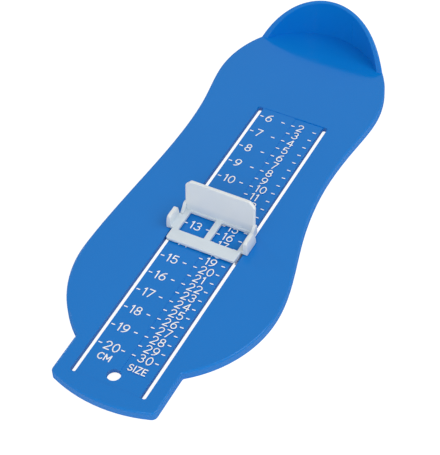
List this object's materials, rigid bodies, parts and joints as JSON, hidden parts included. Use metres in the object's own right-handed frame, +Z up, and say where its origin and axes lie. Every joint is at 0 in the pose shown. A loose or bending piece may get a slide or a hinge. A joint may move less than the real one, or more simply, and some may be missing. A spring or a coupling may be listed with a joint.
{
  "type": "foot measuring device",
  "caption": "Sole-shaped plastic plate with a heel stop, graduated strip between two slots, hanging hole, and a windowed toe slider that travels along the strip.",
  "frame": {"origin": "centre of the footprint, on the table", "axes": "+X across the sole towards the size numbers, +Y towards the heel, +Z up from the table"},
  "size_m": [0.0876, 0.2284, 0.0236],
  "materials": {
    "blue_plastic": "glossy moulded blue",
    "white_plastic": "slightly milky moulded white",
    "white_marking": "white stamped foil"
  },
  "bodies": {
    "base": {"base_plate": "blue_plastic", "centimetre_marks": "white_marking", "size_marks": "white_marking"},
    "slider": {"toe_slider": "white_plastic"}
  },
  "joints": [
    {"name": "slider_travel", "type": "slide", "parent": "base", "child": "slider", "axis": [0, 1, 0], "range_m": [-0.0768, 0.0696]}
  ]
}
